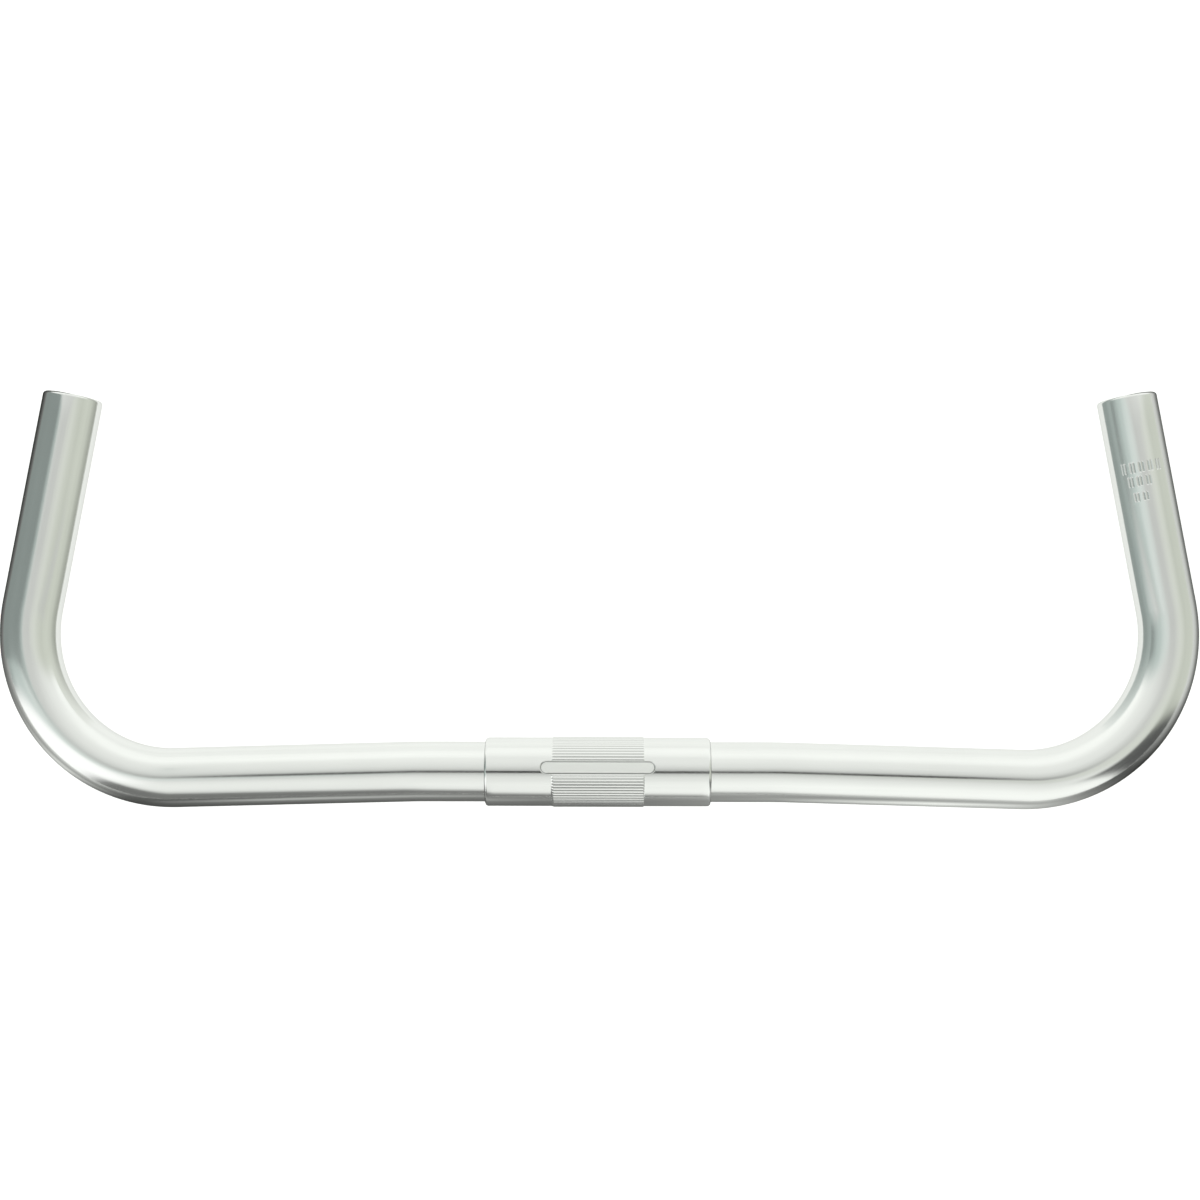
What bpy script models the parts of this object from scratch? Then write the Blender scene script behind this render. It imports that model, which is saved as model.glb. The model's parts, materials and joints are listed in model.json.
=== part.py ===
"""A bicycle handlebar of the bullhorn kind: one bent tube and the clamp sleeve pressed on its middle.

Everything is in metres. The origin is the middle of the clamp seat. +X runs along the clamp seat to
the rider's right, +Y points forward, the way the horns reach, and +Z is up.
"""
import math

import bmesh
import bpy
from mathutils import Vector

# The tube.
TUBE_DIAMETER = 0.0222
TUBE_WALL = 0.0021
END_DEBURR = 0.0004

# The route of the tube's centreline. The two cut ends stand END_WIDTH apart and REACH ahead of the
# clamp seat. The tube runs straight through the sleeve and SEAT_OVERHANG beyond it on each side. The
# straights between the bends take whatever length that leaves them.
END_WIDTH = 0.400
REACH = 0.1415
SEAT_OVERHANG = 0.0205
TOP_BEND_RADIUS = 0.150
TOP_DROP = 3.0
TOP_SWEEP = 1.7
MAIN_BEND_RADIUS = 0.055
TOE_IN = 10.0

# The clamp sleeve, and the clearance that keeps its bore off the tube.
SLEEVE_LENGTH = 0.0833
SLEEVE_WALL = 0.0013
SEAT_CLEARANCE = 0.0003
SLEEVE_CHAMFER = 0.0010
SLEEVE_END_LAND = 0.0002

# The band of lengthwise ribs in the middle of the sleeve.
KNURL_LENGTH = 0.0343
RIB_COUNT = 60
RIB_HEIGHT = 0.0003
RIB_RUN_OUT = 0.0008
RIB_CREST_SHARE = 0.5

# The plain pad between the ribs, and the groove that outlines it. The pad's middle is turned forward
# from straight up by PAD_TURN degrees.
PAD_LENGTH = 0.0417
PAD_WIDTH = 0.0044
PAD_TURN = 9.5
GROOVE_WIDTH = 0.0004
GROOVE_DEPTH = 0.0003
PAD_RIB_MARGIN = 0.0002

# How finely the round shapes are divided.
TUBE_SIDES = 36
MAIN_BEND_STEPS = 14
TOP_BEND_STEPS = 3
PAD_END_STEPS = 8

TUBE_RADIUS = TUBE_DIAMETER / 2
BORE_RADIUS = TUBE_RADIUS - TUBE_WALL
SLEEVE_BORE_RADIUS = TUBE_RADIUS + SEAT_CLEARANCE
CLAMP_RADIUS = SLEEVE_BORE_RADIUS + SLEEVE_WALL

X_AXIS = Vector((1.0, 0.0, 0.0))
Z_AXIS = Vector((0.0, 0.0, 1.0))


def clear_scene():
    """Remove whatever objects the open file holds."""
    for old in list(bpy.data.objects):
        bpy.data.objects.remove(old, do_unlink=True)


def metal(name, colour, roughness):
    """A bare aluminium finish."""
    material = bpy.data.materials.new(name)
    material.use_nodes = True
    shader = material.node_tree.nodes["Principled BSDF"]
    shader.inputs["Base Color"].default_value = (*colour, 1.0)
    shader.inputs["Metallic"].default_value = 1.0
    shader.inputs["Roughness"].default_value = roughness
    return material


def polished_tube():
    """The tube's finish: buffed and clear anodised."""
    return metal("polished_aluminium", (0.84, 0.85, 0.84), 0.24)


def buffed_sleeve():
    """The sleeve's finish: buffed along its length, a little duller than the tube."""
    return metal("buffed_aluminium", (0.82, 0.83, 0.82), 0.28)


def body_from_loops(name, loops):
    """A closed body skinned over closed loops of points, where the last loop joins the first."""
    mesh = bpy.data.meshes.new(name)
    bm = bmesh.new()
    rings = [[bm.verts.new(point) for point in loop] for loop in loops]
    for ring, following in zip(rings, rings[1:] + rings[:1]):
        for i in range(len(ring)):
            j = (i + 1) % len(ring)
            bm.faces.new((ring[i], ring[j], following[j], following[i]))
    bmesh.ops.recalc_face_normals(bm, faces=bm.faces)
    bm.to_mesh(mesh)
    bm.free()
    mesh.shade_smooth()
    mesh.set_sharp_from_angle(angle=math.radians(30.0))
    body = bpy.data.objects.new(name, mesh)
    bpy.context.scene.collection.objects.link(body)
    return body


def heading(yaw, pitch):
    """The unit direction turned yaw degrees from +X towards +Y and pitch degrees up."""
    turn = math.radians(yaw)
    rise = math.radians(pitch)
    return Vector((math.cos(turn) * math.cos(rise), math.sin(turn) * math.cos(rise), math.sin(rise)))


def bend(start, before, after, radius, steps):
    """Places and directions along a round bend that turns from one direction to another."""
    angle = before.angle(after)
    inward = (after - before * before.dot(after)).normalized()
    stations = []
    for i in range(steps + 1):
        turned = angle * i / steps
        place = start + before * radius * math.sin(turned) + inward * radius * (1.0 - math.cos(turned))
        direction = before * math.cos(turned) + inward * math.sin(turned)
        stations.append((place, direction))
    return stations


def straight_lengths(fixed_run, top_direction, horn_direction):
    """The lengths of the top and horn straights that bring the cut end to its width and reach."""
    across = END_WIDTH / 2 - fixed_run.x
    ahead = REACH - fixed_run.y
    spread = top_direction.x * horn_direction.y - top_direction.y * horn_direction.x
    top = (across * horn_direction.y - ahead * horn_direction.x) / spread
    horn = (top_direction.x * ahead - top_direction.y * across) / spread
    return top, horn


def right_half_route():
    """Places and directions from the end of the straight under the sleeve to the right cut end."""
    top_direction = heading(-TOP_SWEEP, -TOP_DROP)
    horn_direction = heading(90.0 + TOE_IN, 0.0)
    seat_end = X_AXIS * (SLEEVE_LENGTH / 2 + SEAT_OVERHANG)
    origin = Vector((0.0, 0.0, 0.0))
    top_bend = bend(seat_end, X_AXIS, top_direction, TOP_BEND_RADIUS, TOP_BEND_STEPS)
    main_run = bend(origin, top_direction, horn_direction, MAIN_BEND_RADIUS, MAIN_BEND_STEPS)[-1][0]
    top, horn = straight_lengths(top_bend[-1][0] + main_run, top_direction, horn_direction)
    main_start = top_bend[-1][0] + top_direction * top
    main_bend = bend(main_start, top_direction, horn_direction, MAIN_BEND_RADIUS, MAIN_BEND_STEPS)
    cut_end = (main_bend[-1][0] + horn_direction * horn, horn_direction)
    return top_bend + main_bend + [cut_end]


def mirrored(station):
    """The same place on the left half, with its direction still running left to right."""
    place, direction = station
    return (Vector((-place.x, place.y, place.z)), Vector((direction.x, -direction.y, -direction.z)))


def tube_ring(place, direction, radius):
    """One ring of points around the centreline."""
    side = direction.cross(Z_AXIS).normalized()
    up = side.cross(direction)
    ring = []
    for i in range(TUBE_SIDES):
        angle = math.tau * i / TUBE_SIDES
        ring.append(place + side * radius * math.cos(angle) + up * radius * math.sin(angle))
    return ring


def make_bar_tube():
    """The bent tube, open right through, with both cut ends deburred inside and out."""
    right = right_half_route()
    route = [mirrored(station) for station in reversed(right)] + right
    left_end, left_direction = route[0]
    right_end, right_direction = route[-1]
    before_left = (left_end + left_direction * END_DEBURR, left_direction)
    before_right = (right_end - right_direction * END_DEBURR, right_direction)
    inner_run = [before_left] + route[1:-1] + [before_right]
    outside = [tube_ring(place, direction, TUBE_RADIUS) for place, direction in inner_run]
    inside = [tube_ring(place, direction, BORE_RADIUS) for place, direction in reversed(inner_run)]
    rim_outer = TUBE_RADIUS - END_DEBURR
    rim_inner = BORE_RADIUS + END_DEBURR
    left_rim = [tube_ring(left_end, left_direction, radius) for radius in (rim_inner, rim_outer)]
    right_rim = [tube_ring(right_end, right_direction, radius) for radius in (rim_outer, rim_inner)]
    tube = body_from_loops("bar_tube", left_rim + outside + right_rim + inside)
    tube.data.materials.append(polished_tube())
    return tube


def around_clamp(along, turn, radius):
    """The point at a distance along the clamp axis, turned forward from straight up by turn radians."""
    return Vector((along, radius * math.sin(turn), radius * math.cos(turn)))


def rib_corners():
    """Turns around the sleeve, each with the share of the rib height that stands there.

    The ribs fill the turn outside the pad. Each one is a flat crest between two sloping flanks, and
    neighbours meet in a V.
    """
    pad_half = (PAD_WIDTH / 2 + GROOVE_WIDTH / 2 + PAD_RIB_MARGIN) / CLAMP_RADIUS
    pad_middle = math.radians(PAD_TURN)
    pitch = (math.tau - 2 * pad_half) / RIB_COUNT
    corners = []
    for i in range(RIB_COUNT):
        root = pad_middle + pad_half + pitch * i
        flank = pitch * (1.0 - RIB_CREST_SHARE) / 2
        corners.append((root, 0.0))
        corners.append((root + flank, 1.0))
        corners.append((root + pitch - flank, 1.0))
    corners.append((pad_middle - pad_half + math.tau, 0.0))
    for i in range(1, 4):
        corners.append((pad_middle - pad_half + 2 * pad_half * i / 4 + math.tau, 0.0))
    return corners


def make_clamp_sleeve():
    """The sleeve, with chamfered ends and the ribbed band that bites into the stem's clamp."""
    corners = rib_corners()
    half = SLEEVE_LENGTH / 2
    knurl_half = KNURL_LENGTH / 2
    outside = [
        (-half, SLEEVE_BORE_RADIUS + SLEEVE_END_LAND, 0.0),
        (-half + SLEEVE_CHAMFER, CLAMP_RADIUS, 0.0),
        (-knurl_half, CLAMP_RADIUS, 0.0),
        (-knurl_half + RIB_RUN_OUT, CLAMP_RADIUS, RIB_HEIGHT),
        (knurl_half - RIB_RUN_OUT, CLAMP_RADIUS, RIB_HEIGHT),
        (knurl_half, CLAMP_RADIUS, 0.0),
        (half - SLEEVE_CHAMFER, CLAMP_RADIUS, 0.0),
        (half, SLEEVE_BORE_RADIUS + SLEEVE_END_LAND, 0.0),
    ]
    inside = [(half, SLEEVE_BORE_RADIUS, 0.0), (-half, SLEEVE_BORE_RADIUS, 0.0)]
    loops = []
    for along, radius, rib_height in outside + inside:
        loops.append([around_clamp(along, turn, radius + rib_height * share) for turn, share in corners])
    sleeve = body_from_loops("clamp_sleeve", loops)
    sleeve.data.materials.append(buffed_sleeve())
    return sleeve


def pad_outline():
    """Places on the pad's outline, each with the direction across the groove there.

    Both are (along, around) pairs, measured on the sleeve's surface from the middle of the pad.
    """
    end_radius = PAD_WIDTH / 2
    straight_half = PAD_LENGTH / 2 - end_radius
    outline = []
    for end in (1.0, -1.0):
        for i in range(PAD_END_STEPS + 1):
            angle = end * math.pi / 2 - math.pi * i / PAD_END_STEPS
            across = (math.cos(angle), math.sin(angle))
            place = (end * straight_half + end_radius * across[0], end_radius * across[1])
            outline.append((place, across))
    return outline


def make_groove_cutter():
    """The closed rail that cuts the groove: a square section carried round the pad's outline."""
    floor = CLAMP_RADIUS - GROOVE_DEPTH
    ceiling = CLAMP_RADIUS + RIB_HEIGHT + GROOVE_DEPTH
    reach = GROOVE_WIDTH / 2
    section = ((-reach, floor), (reach, floor), (reach, ceiling), (-reach, ceiling))
    loops = []
    for place, across in pad_outline():
        loop = []
        for offset, radius in section:
            along = place[0] + across[0] * offset
            around = place[1] + across[1] * offset
            loop.append(around_clamp(along, math.radians(PAD_TURN) + around / CLAMP_RADIUS, radius))
        loops.append(loop)
    cutter = body_from_loops("groove_cutter", loops)
    cutter.hide_render = True
    cutter.display_type = "WIRE"
    return cutter


def cut_groove(sleeve):
    """Cut the groove that outlines the pad into the sleeve."""
    cut = sleeve.modifiers.new("pad_groove", "BOOLEAN")
    cut.operation = "DIFFERENCE"
    cut.solver = "EXACT"
    cut.object = make_groove_cutter()


def main():
    clear_scene()
    make_bar_tube()
    cut_groove(make_clamp_sleeve())


main()
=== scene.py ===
# %% [markdown]
# # A bare bullhorn handlebar on a white table
#
# The real object is two pieces of aluminium: one tube, bent four times and polished, and a larger
# sleeve pressed on its middle, where a stem grips it. This lesson takes the plain engineering model
# of both as a fixed frame, makes a finer surface for each, and lights them like a product shot.
# Polished metal has hardly any look of its own, so most of the work is in what it mirrors.

# %% Load the frame
import json
import math

import bmesh
import bpy
import numpy as np
from mathutils import Matrix, Vector


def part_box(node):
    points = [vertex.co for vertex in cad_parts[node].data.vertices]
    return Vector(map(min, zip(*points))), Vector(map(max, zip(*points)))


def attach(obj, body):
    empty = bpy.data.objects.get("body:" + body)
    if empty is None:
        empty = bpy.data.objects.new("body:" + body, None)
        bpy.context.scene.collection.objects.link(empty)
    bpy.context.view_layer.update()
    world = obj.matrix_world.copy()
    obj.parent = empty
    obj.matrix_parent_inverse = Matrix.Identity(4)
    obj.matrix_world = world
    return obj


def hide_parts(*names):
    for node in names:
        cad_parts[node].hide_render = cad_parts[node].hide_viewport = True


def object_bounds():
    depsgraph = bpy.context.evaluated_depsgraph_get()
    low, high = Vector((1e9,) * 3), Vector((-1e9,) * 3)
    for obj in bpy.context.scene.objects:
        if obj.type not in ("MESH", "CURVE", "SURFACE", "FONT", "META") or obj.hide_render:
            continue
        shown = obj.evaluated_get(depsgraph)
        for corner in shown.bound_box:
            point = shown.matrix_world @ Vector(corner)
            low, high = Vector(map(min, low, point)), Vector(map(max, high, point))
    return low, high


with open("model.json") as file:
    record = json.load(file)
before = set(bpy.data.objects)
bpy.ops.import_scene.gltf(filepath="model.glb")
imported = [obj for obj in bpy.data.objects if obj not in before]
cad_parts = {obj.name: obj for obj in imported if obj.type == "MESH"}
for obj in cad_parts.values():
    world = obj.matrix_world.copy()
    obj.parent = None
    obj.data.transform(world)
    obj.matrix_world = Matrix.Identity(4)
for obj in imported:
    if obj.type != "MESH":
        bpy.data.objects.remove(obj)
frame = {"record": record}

cad_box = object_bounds()
print("model box", [tuple(round(v, 4) for v in corner) for corner in cad_box])

# %% [markdown]
# ## Measures
#
# Whatever the model can tell is read from it: the tube's radius is how high the straight middle
# stands above the clamp axis, and each cut end is a stated mounting face with a place and a
# direction. Only the bends are written here again, because a mesh holds no bend radius.

# %% Read the sizes that the model holds
mounts = {mount["name"]: mount for mount in frame["record"]["mounts"]}
TUBE_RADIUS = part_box("bar_tube")[1].z
TUBE_WALL = 0.0021
BORE_RADIUS = TUBE_RADIUS - TUBE_WALL
CLAMP_RADIUS = mounts["stem_clamp"]["dims"]["r_mm"] / 1000
SLEEVE_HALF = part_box("clamp_sleeve")[1].x
END_DIRECTION = Vector(mounts["right_bar_end"]["axis"]).normalized()
MID_WALL_RADIUS = TUBE_RADIUS - TUBE_WALL / 2
END_CENTRE = Vector(mounts["right_bar_end"]["pos_m"]) - Vector((0, 0, MID_WALL_RADIUS))
print(f"tube radius {TUBE_RADIUS:.4f}, clamp radius {CLAMP_RADIUS:.4f}, half sleeve {SLEEVE_HALF:.4f}")
print("right cut end at", tuple(round(v, 4) for v in END_CENTRE))

# %% [markdown]
# ## The route of the tube
#
# A bar like this is made on a bending machine: straight, bend, straight, bend, straight. It could be
# drawn as a Bezier curve, but a curve's handles only come near a round bend. Working the route out as
# true arcs and straights keeps the radius the bending former really has, and gives the distance
# along the tube at every point, which the finish needs later.

# %% Bends and straights of the right half
SEAT_OVERHANG = 0.0205
TOP_BEND_RADIUS = 0.150
MAIN_BEND_RADIUS = 0.055
TOP_DROP = math.radians(3.0)
TOP_SWEEP = math.radians(1.7)
TOP_BEND_STEPS = 8
MAIN_BEND_STEPS = 60
X_AXIS = Vector((1, 0, 0))
Z_AXIS = Vector((0, 0, 1))


def bend(start, before, after, radius, steps):
    """Places and directions along a round bend, with how far into the bend each one is, 0 to 1."""
    angle = before.angle(after)
    inward = (after - before * before.dot(after)).normalized()
    stations = []
    for i in range(steps + 1):
        turned = angle * i / steps
        place = start + before * radius * math.sin(turned) + inward * radius * (1 - math.cos(turned))
        direction = before * math.cos(turned) + inward * math.sin(turned)
        stations.append((place, direction, i / steps))
    return stations


def straight_lengths(fixed_run, top_direction):
    """Lengths of the top and the horn straights that end the tube at its cut end."""
    gap = END_CENTRE - fixed_run
    spread = top_direction.x * END_DIRECTION.y - top_direction.y * END_DIRECTION.x
    top = (gap.x * END_DIRECTION.y - gap.y * END_DIRECTION.x) / spread
    horn = (top_direction.x * gap.y - top_direction.y * gap.x) / spread
    return top, horn


top_direction = Vector((
    math.cos(TOP_SWEEP) * math.cos(TOP_DROP),
    -math.sin(TOP_SWEEP) * math.cos(TOP_DROP),
    -math.sin(TOP_DROP),
))
seat_end = X_AXIS * (SLEEVE_HALF + SEAT_OVERHANG)
top_bend = bend(seat_end, X_AXIS, top_direction, TOP_BEND_RADIUS, TOP_BEND_STEPS)
main_run = bend(Vector(), top_direction, END_DIRECTION, MAIN_BEND_RADIUS, MAIN_BEND_STEPS)[-1][0]
top_length, horn_length = straight_lengths(top_bend[-1][0] + main_run, top_direction)
main_start = top_bend[-1][0] + top_direction * top_length
main_bend = bend(main_start, top_direction, END_DIRECTION, MAIN_BEND_RADIUS, MAIN_BEND_STEPS)
horn_start = main_bend[-1][0]
miss = (horn_start + END_DIRECTION * horn_length - END_CENTRE).length
print(f"top straight {top_length:.4f}, horn straight {horn_length:.4f}, misses the cut end by {miss:.6f}")

# %% [markdown]
# Each point of the route becomes a station: where it is, which way the tube runs there, how far along
# the tube it lies, and how much the tube is squeezed. Bending pulls the outer wall flat, so the tube
# is a little narrower across the bend than the former's groove. The squeeze fades in and out of each
# main bend as a sine does, because a bend has no sharp start.

# %% Stations from the middle of the bar to the right cut end
BEND_SQUEEZE = 0.008
STRAIGHT_STEP = 0.012


def straight(start, direction, length, step):
    """Stations inside a straight, without its two ends."""
    count = max(1, round(length / step))
    return [(start + direction * length * i / count, direction, 0.0) for i in range(1, count)]


def squeeze_at(bend_share):
    """How much narrower the tube is, as a share of its radius, part of the way into a main bend."""
    return BEND_SQUEEZE * math.sin(math.pi * bend_share) ** 0.5


middle = [(Vector(), X_AXIS, 0.0)] + straight(Vector(), X_AXIS, seat_end.x, STRAIGHT_STEP)
gentle = [(place, direction, 0.0) for place, direction, _ in top_bend]
top_run = straight(top_bend[-1][0], top_direction, top_length, STRAIGHT_STEP)
tight = [(place, direction, squeeze_at(share)) for place, direction, share in main_bend]
print("stations before the horn:", len(middle + gentle + top_run + tight))

# %% [markdown]
# ## A punched batch mark on the right horn
#
# Bars are hand stamped near one end with a few short rows before they are polished. Here the mark is
# a generic tally: pairs of plain strokes with no letters or figures. A stroke could be cut with a
# Boolean, but a punch does not cut, it pushes metal down with soft edges and raises a low lip beside
# it. So the tube's surface is divided finely under the mark, and each point there moves by a formula.

# %% Strokes of the mark, measured on the tube's surface
MARK_FROM_END = 0.0334
MARK_TURN = math.radians(106.0)
MARK_REACH = 0.0094
MARK_STEP = 0.00017
STROKE_HALF_WIDTH = 0.00030
STROKE_PAIR_HALF = 0.00060
STROKE_PITCH = 0.0033
PUNCH_DEPTH = 0.00032
LIP_HEIGHT = 0.00005
PRESS_REACH = 1.2
PRESS_CURVE = 0.8
LIP_PLACE = 1.5
LIP_SPREAD = 0.35
MARK_ROWS = (
    {"along": 0.0059, "around": -0.0006, "pairs": 5, "height": 0.0040},
    {"along": 0.0007, "around": 0.0009, "pairs": 3, "height": 0.0037},
    {"along": -0.0051, "around": 0.0013, "pairs": 2, "height": 0.0033},
)


def mark_strokes():
    """Middle and half length of every stroke, as (along, around, half length)."""
    strokes = []
    for row in MARK_ROWS:
        for i in range(row["pairs"]):
            middle = row["around"] + (i - (row["pairs"] - 1) / 2) * STROKE_PITCH
            for side in (-1, 1):
                half_length = row["height"] / 2 - STROKE_HALF_WIDTH
                strokes.append((row["along"], middle + side * STROKE_PAIR_HALF, half_length))
    return strokes


def mark_depth(along, around):
    """How deep the punch has sunk at distances from the middle of the mark. Works on arrays."""
    depth = np.zeros(np.broadcast(along, around).shape)
    for place, offset, half_length in mark_strokes():
        past = np.maximum(np.abs(along - place) - half_length, 0)
        distance = np.hypot(past, around - offset) / STROKE_HALF_WIDTH
        pressed = PUNCH_DEPTH * np.clip(PRESS_REACH - distance, 0, 1) ** PRESS_CURVE
        lip = LIP_HEIGHT * np.exp(-((distance - LIP_PLACE) / LIP_SPREAD) ** 2)
        depth = np.where(pressed > depth, pressed, np.where(depth > 0, depth, np.minimum(depth, -lip)))
    return depth


mark_start = horn_length - MARK_FROM_END - MARK_REACH
mark_count = round(2 * MARK_REACH / MARK_STEP)
print(len(mark_strokes()), "strokes,", mark_count, "stations across the mark")

# %% The horn's own stations, closer together under the mark
END_ROUND = 0.0012
BORE_ROUND = 0.0005
END_STEPS = 5
mark_begin = horn_start + END_DIRECTION * mark_start
mark_end_length = horn_length - mark_start - 2 * MARK_REACH - END_ROUND
horn_plain = straight(horn_start, END_DIRECTION, mark_start, STRAIGHT_STEP)
horn_mark = [
    (mark_begin + END_DIRECTION * 2 * MARK_REACH * i / mark_count, END_DIRECTION, 0.0)
    for i in range(mark_count + 1)
]
horn_tip = straight(horn_mark[-1][0], END_DIRECTION, mark_end_length, STRAIGHT_STEP)
right_half = middle + gentle + top_run + tight + horn_plain + horn_mark + horn_tip
left_half = [
    (Vector((-p.x, p.y, p.z)), Vector((d.x, -d.y, -d.z)), s) for p, d, s in reversed(right_half[1:])
]
stations = left_half + right_half
print(len(stations), "stations along the tube")

# %% [markdown]
# ## The tube's surface
#
# At each station the tube is a ring of points. The ring is the same everywhere, so neighbouring rings
# join with plain four-sided faces. Both cut ends are rounded over by a deburring wheel: the last few
# rings step in along a quarter circle, and the edge of the bore is rounded the same way but less.

# %% Angles round the ring
COARSE_SIDES = 112
mark_half_turn = MARK_REACH / TUBE_RADIUS
coarse = [math.tau * i / COARSE_SIDES for i in range(COARSE_SIDES)]
fine = [MARK_TURN - mark_half_turn + 2 * mark_half_turn * i / mark_count for i in range(mark_count + 1)]
clear_of_fine = math.tau / COARSE_SIDES / 2
ring_angles = np.array(sorted(
    [a for a in coarse if abs(a - MARK_TURN) > mark_half_turn + clear_of_fine] + fine
))
print(len(ring_angles), "points on each ring")


# %% Rings, and the skin between them
def ring_points(place, direction, radii):
    """The ring of points round a place, with a radius for each angle."""
    side = direction.cross(Z_AXIS).normalized()
    up = side.cross(direction)
    across = np.outer(np.cos(ring_angles) * radii, np.array(side))
    rise = np.outer(np.sin(ring_angles) * radii, np.array(up))
    return np.array(place) + across + rise


def squeezed(radius, squeeze):
    """Radii of a ring that is narrower across the bend and keeps its height."""
    return radius * (1 - squeeze * np.cos(ring_angles) ** 2)


def skin(name, rings, lay, shares):
    """A closed mesh over rings, where the last ring joins the first. lay is each point's own spot on
    the straight tube before it was bent, which the finish is laid out on. shares holds more values
    for each point, 0 to 1: one says how far down in a groove, rib root, end crease or punched stroke
    it lies, which the finish paints darker as painted shade and as polish residue where the polishing
    mop could not reach, and filed is whether a file left it dull."""
    count, sides = len(rings), len(rings[0])
    first = np.arange(count)[:, None] * sides + np.arange(sides)[None, :]
    right = np.roll(first, -1, axis=1)
    over = np.roll(first, -1, axis=0)
    across = np.roll(over, -1, axis=1)
    faces = np.stack([first, right, across, over], axis=-1).reshape(-1, 4)
    mesh = bpy.data.meshes.new(name)
    mesh.from_pydata(np.concatenate(rings).tolist(), [], faces.tolist())
    mesh.attributes.new("lay", "FLOAT_VECTOR", "POINT").data.foreach_set(
        "vector", np.concatenate(lay).astype(np.float32).ravel()
    )
    for share_name, values in shares.items():
        mesh.attributes.new(share_name, "FLOAT", "POINT").data.foreach_set(
            "value", np.concatenate(values).astype(np.float32)
        )
    bm = bmesh.new()
    bm.from_mesh(mesh)
    bmesh.ops.recalc_face_normals(bm, faces=bm.faces)
    bm.to_mesh(mesh)
    bm.free()
    mesh.shade_smooth()
    piece = bpy.data.objects.new(name, mesh)
    bpy.context.scene.collection.objects.link(piece)
    return piece


print(f"in its main bends the tube is {2000 * squeezed(TUBE_RADIUS, BEND_SQUEEZE).min():.2f} mm across")

# %% [markdown]
# The straight-tube coordinates deserve a word. Drawing lines and polishing marks were put on the tube
# while it was straight, and the bends carried them along. So every point remembers where it was on
# the straight tube: its distance along, and its place on the round section. A texture stretched in
# that space follows the bends by itself and has no seam.

# %% Build the tube
def lay_points(distance, radius):
    """Where a ring lay on the straight tube."""
    return np.stack([
        np.full(len(ring_angles), distance),
        radius * np.cos(ring_angles),
        radius * np.sin(ring_angles),
    ], axis=-1)


def rounded_end(end, outward, distance, sign):
    """Rings round the wall's edge at a cut end, from the outside of the tube over into the bore."""
    rings, lay = [], []
    for radius, turn, rounding in ((TUBE_RADIUS, 1, END_ROUND), (BORE_RADIUS, -1, BORE_ROUND)):
        for i in range(END_STEPS + 1):
            angle = math.pi / 2 * (i if turn == 1 else END_STEPS - i) / END_STEPS
            back = rounding * (1 - math.sin(angle))
            inset = rounding * (1 - math.cos(angle)) * turn
            direction = outward * sign
            radii = np.full(len(ring_angles), radius - inset)
            rings.append(ring_points(end - outward * back, direction, radii))
            lay.append(lay_points(distance - sign * back, radius - inset))
    return rings, lay


IN_LINE = 0.9999
distances = np.cumsum([0] + [(b[0] - a[0]).length for a, b in zip(stations, stations[1:])])
distances -= distances[len(left_half)]
mark_middle = (horn_mark[0][0] + horn_mark[-1][0]) / 2
outer, outer_lay, outer_residue_and_shade = [], [], []
for (place, direction, squeeze), distance in zip(stations, distances):
    radii = squeezed(TUBE_RADIUS, squeeze)
    depth = np.zeros(len(ring_angles))
    along = (place - mark_middle).dot(END_DIRECTION)
    if place.x > 0 and abs(along) <= MARK_REACH and direction.dot(END_DIRECTION) > IN_LINE:
        depth = mark_depth(along, TUBE_RADIUS * (ring_angles - MARK_TURN))
    outer.append(ring_points(place, direction, radii - depth))
    outer_lay.append(lay_points(distance, TUBE_RADIUS))
    # How deep a point lies in a punched stroke; the finish paints it darker, as painted shade with polish
    # residue.
    outer_residue_and_shade.append(np.clip(depth / PUNCH_DEPTH, 0, 1))

BORE_EVERY = 3
inner_stations = list(zip(stations, distances))[::-BORE_EVERY]
inner = [
    ring_points(place, direction, squeezed(BORE_RADIUS, squeeze))
    for (place, direction, squeeze), _ in inner_stations
]
inner_lay = [lay_points(distance, BORE_RADIUS) for _, distance in inner_stations]
left_end = Vector((-END_CENTRE.x, END_CENTRE.y, END_CENTRE.z))
left_outward = Vector((-END_DIRECTION.x, END_DIRECTION.y, END_DIRECTION.z))
tube_end = distances[-1] + (END_CENTRE - stations[-1][0]).length
right_rings, right_lay = rounded_end(END_CENTRE, END_DIRECTION, tube_end, 1)
left_rings, left_lay = rounded_end(left_end, left_outward, -tube_end, -1)
plain_rings = len(right_rings) + len(inner) + len(left_rings)
tube = skin(
    "polished_tube",
    outer + right_rings + inner + left_rings[::-1],
    outer_lay + right_lay + inner_lay + left_lay[::-1],
    {"recess": outer_residue_and_shade + [np.zeros(len(ring_angles))] * plain_rings},
)
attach(tube, "root")
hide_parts("bar_tube")
print(f"tube length {2 * tube_end:.4f} m, {len(tube.data.polygons)} faces")

# %% [markdown]
# ## The clamp sleeve
#
# The sleeve is a short length of thicker tube, pressed on cold. Its ends are turned to a soft
# shoulder so that the stem slides over them, a knurling wheel has rolled lengthwise ribs round its
# middle, and a flat pad in the ribs is outlined by a fine groove. Ribs could be copied round with an
# Array and joined, which leaves many seams. Here the whole sleeve is one formula: the radius at any
# distance along it and any turn round it.

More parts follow.
